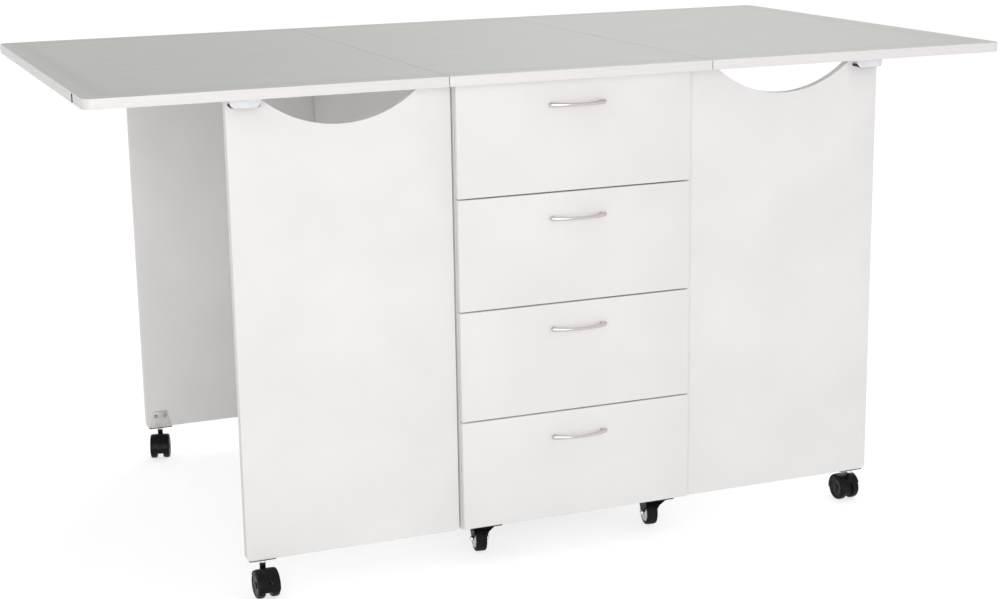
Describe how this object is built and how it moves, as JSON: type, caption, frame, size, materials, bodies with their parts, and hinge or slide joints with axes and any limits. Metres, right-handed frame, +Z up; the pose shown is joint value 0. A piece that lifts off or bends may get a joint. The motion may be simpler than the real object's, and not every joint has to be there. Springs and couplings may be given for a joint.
{
  "type": "folding sewing cutting table",
  "caption": "Folding cutting table on castors: drawer cabinet under a fixed middle top, with hinged side leaves held up by swing-out gates.",
  "frame": {"origin": "on the floor, under the middle of the opened top", "axes": "+Z up; X along the opened table, across both seams; the drawers face -Y"},
  "size_m": [1.778, 1.008, 0.921],
  "materials": {
    "grey_laminate": "matt grey laminate on chipboard with a white edge band",
    "white_board": "smooth white melamine-faced chipboard",
    "white_plastic": "satin",
    "satin_nickel": "brushed",
    "zinc_plated_steel": "bright zinc plate",
    "black_steel": "satin black",
    "black_plastic": "satin black",
    "black_rubber": "soft tread on a hard core"
  },
  "bodies": {
    "cabinet": {"centre_top": "grey_laminate", "leaf_hinges_fixed": "zinc_plated_steel", "side_left": "white_board", "side_right": "white_board", "bottom_panel": "white_board", "divider_panel": "white_board", "top_rails": "white_board", "shelves": "white_board", "shelf_pins": "zinc_plated_steel", "runner_tracks": "zinc_plated_steel", "gate_hinges_fixed": "zinc_plated_steel", "castor_plates": "black_steel"},
    "leaf_left": {"leaf_left": "grey_laminate", "leaf_hinges_left": "zinc_plated_steel", "leaf_stops_left": "white_plastic"},
    "leaf_right": {"leaf_right": "grey_laminate", "leaf_hinges_right": "zinc_plated_steel", "leaf_stops_right": "white_plastic"},
    "gate_front_left": {"gate_front_left": "white_board", "gate_hinges_front_left": "zinc_plated_steel", "castor_bracket_front_left": "zinc_plated_steel"},
    "gate_front_right": {"gate_front_right": "white_board", "gate_hinges_front_right": "zinc_plated_steel", "castor_bracket_front_right": "zinc_plated_steel"},
    "gate_back_left": {"gate_back_left": "white_board", "gate_hinges_back_left": "zinc_plated_steel", "castor_bracket_back_left": "zinc_plated_steel"},
    "gate_back_right": {"gate_back_right": "white_board", "gate_hinges_back_right": "zinc_plated_steel", "castor_bracket_back_right": "zinc_plated_steel"},
    "drawer_1": {"drawer_front_1": "white_board", "drawer_box_1": "white_board", "handle_1": "satin_nickel"},
    "drawer_2": {"drawer_front_2": "white_board", "drawer_box_2": "white_board", "handle_2": "satin_nickel"},
    "drawer_3": {"drawer_front_3": "white_board", "drawer_box_3": "white_board", "handle_3": "satin_nickel"},
    "drawer_4": {"drawer_front_4": "white_board", "drawer_box_4": "white_board", "handle_4": "satin_nickel"},
    "castor_front_left": {"castor_hood_front_left": "black_plastic"},
    "castor_wheels_front_left": {"castor_wheels_front_left": "black_plastic"},
    "castor_front_right": {"castor_hood_front_right": "black_plastic"},
    "castor_wheels_front_right": {"castor_wheels_front_right": "black_plastic"},
    "castor_back_left": {"castor_hood_back_left": "black_plastic"},
    "castor_wheels_back_left": {"castor_wheels_back_left": "black_plastic"},
    "castor_back_right": {"castor_hood_back_right": "black_plastic"},
    "castor_wheels_back_right": {"castor_wheels_back_right": "black_plastic"},
    "fork_front_left": {"fork_front_left": "black_steel"},
    "fork_wheel_front_left": {"fork_wheel_front_left": "black_rubber"},
    "brake_pedal_front_left": {"brake_pedal_front_left": "black_steel"},
    "fork_front_right": {"fork_front_right": "black_steel"},
    "fork_wheel_front_right": {"fork_wheel_front_right": "black_rubber"},
    "brake_pedal_front_right": {"brake_pedal_front_right": "black_steel"},
    "fork_back_left": {"fork_back_left": "black_steel"},
    "fork_wheel_back_left": {"fork_wheel_back_left": "black_rubber"},
    "fork_back_right": {"fork_back_right": "black_steel"},
    "fork_wheel_back_right": {"fork_wheel_back_right": "black_rubber"}
  },
  "joints": [
    {"name": "leaf_lift_left", "type": "hinge", "parent": "cabinet", "child": "leaf_left", "pos_m": [-0.25675, 0, 0.9], "axis": [0, 1, 0], "range_deg": [0, 3.5]},
    {"name": "leaf_lift_right", "type": "hinge", "parent": "cabinet", "child": "leaf_right", "pos_m": [0.25675, 0, 0.9], "axis": [0, -1, 0], "range_deg": [0, 3.5]},
    {"name": "gate_fold_front_left", "type": "hinge", "parent": "cabinet", "child": "gate_front_left", "pos_m": [-0.2346, -0.4284, 0.5005], "axis": [0, 0, -1], "range_deg": [0, 90]},
    {"name": "gate_fold_front_right", "type": "hinge", "parent": "cabinet", "child": "gate_front_right", "pos_m": [0.2346, -0.4284, 0.5005], "axis": [0, 0, 1], "range_deg": [0, 90]},
    {"name": "gate_fold_back_left", "type": "hinge", "parent": "cabinet", "child": "gate_back_left", "pos_m": [-0.2346, 0.4284, 0.5005], "axis": [0, 0, 1], "range_deg": [0, 90]},
    {"name": "gate_fold_back_right", "type": "hinge", "parent": "cabinet", "child": "gate_back_right", "pos_m": [0.2346, 0.4284, 0.5005], "axis": [0, 0, -1], "range_deg": [0, 90]},
    {"name": "drawer_slide_1", "type": "slide", "parent": "cabinet", "child": "drawer_1", "axis": [0, -1, 0], "range_m": [0, 0.3]},
    {"name": "drawer_slide_2", "type": "slide", "parent": "cabinet", "child": "drawer_2", "axis": [0, -1, 0], "range_m": [0, 0.3]},
    {"name": "drawer_slide_3", "type": "slide", "parent": "cabinet", "child": "drawer_3", "axis": [0, -1, 0], "range_m": [0, 0.3]},
    {"name": "drawer_slide_4", "type": "slide", "parent": "cabinet", "child": "drawer_4", "axis": [0, -1, 0], "range_m": [0, 0.3]},
    {"name": "castor_swivel_front_left", "type": "hinge", "parent": "gate_front_left", "child": "castor_front_left", "pos_m": [-0.612, -0.44, 0.05], "axis": [0, 0, 1], "continuous": true},
    {"name": "castor_roll_front_left", "type": "hinge", "parent": "castor_front_left", "child": "castor_wheels_front_left", "pos_m": [-0.61141, -0.45699, 0.025], "axis": [0.9994, 0.0349, 0], "continuous": true},
    {"name": "castor_swivel_front_right", "type": "hinge", "parent": "gate_front_right", "child": "castor_front_right", "pos_m": [0.612, -0.44, 0.05], "axis": [0, 0, 1], "continuous": true},
    {"name": "castor_roll_front_right", "type": "hinge", "parent": "castor_front_right", "child": "castor_wheels_front_right", "pos_m": [0.61141, -0.42301, 0.025], "axis": [-0.9994, -0.0349, 0], "continuous": true},
    {"name": "castor_swivel_back_left", "type": "hinge", "parent": "gate_back_left", "child": "castor_back_left", "pos_m": [-0.612, 0.44, 0.05], "axis": [0, 0, 1], "continuous": true},
    {"name": "castor_roll_back_left", "type": "hinge", "parent": "castor_back_left", "child": "castor_wheels_back_left", "pos_m": [-0.61669, 0.42366, 0.025], "axis": [0.9613, -0.2756, 0], "continuous": true},
    {"name": "castor_swivel_back_right", "type": "hinge", "parent": "gate_back_right", "child": "castor_back_right", "pos_m": [0.612, 0.44, 0.05], "axis": [0, 0, 1], "continuous": true},
    {"name": "castor_roll_back_right", "type": "hinge", "parent": "castor_back_right", "child": "castor_wheels_back_right", "pos_m": [0.61495, 0.45674, 0.025], "axis": [-0.9848, 0.1736, 0], "continuous": true},
    {"name": "fork_swivel_front_left", "type": "hinge", "parent": "cabinet", "child": "fork_front_left", "pos_m": [-0.18, -0.4185, 0.059], "axis": [0, 0, 1], "continuous": true},
    {"name": "fork_roll_front_left", "type": "hinge", "parent": "fork_front_left", "child": "fork_wheel_front_left", "pos_m": [-0.17694, -0.39671, 0.025], "axis": [-0.9903, 0.1392, 0], "continuous": true},
    {"name": "brake_front_left", "type": "hinge", "parent": "fork_front_left", "child": "brake_pedal_front_left", "pos_m": [-0.1752, -0.38434, 0.055], "axis": [0.9903, -0.1392, 0], "range_deg": [0, 15]},
    {"name": "fork_swivel_front_right", "type": "hinge", "parent": "cabinet", "child": "fork_front_right", "pos_m": [0.18, -0.4185, 0.059], "axis": [0, 0, 1], "continuous": true},
    {"name": "fork_roll_front_right", "type": "hinge", "parent": "fork_front_right", "child": "fork_wheel_front_right", "pos_m": [0.1823, -0.39662, 0.025], "axis": [-0.9945, 0.1045, 0], "continuous": true},
    {"name": "brake_front_right", "type": "hinge", "parent": "fork_front_right", "child": "brake_pedal_front_right", "pos_m": [0.18361, -0.38419, 0.055], "axis": [0.9945, -0.1045, 0], "range_deg": [0, 15]},
    {"name": "fork_swivel_back_left", "type": "hinge", "parent": "cabinet", "child": "fork_back_left", "pos_m": [-0.18, 0.4185, 0.059], "axis": [0, 0, 1], "continuous": true},
    {"name": "fork_roll_back_left", "type": "hinge", "parent": "fork_back_left", "child": "fork_wheel_back_left", "pos_m": [-0.1823, 0.44038, 0.025], "axis": [-0.9945, -0.1045, 0], "continuous": true},
    {"name": "fork_swivel_back_right", "type": "hinge", "parent": "cabinet", "child": "fork_back_right", "pos_m": [0.18, 0.4185, 0.059], "axis": [0, 0, 1], "continuous": true},
    {"name": "fork_roll_back_right", "type": "hinge", "parent": "fork_back_right", "child": "fork_wheel_back_right", "pos_m": [0.18569, 0.43975, 0.025], "axis": [-0.9659, 0.2588, 0], "continuous": true}
  ]
}
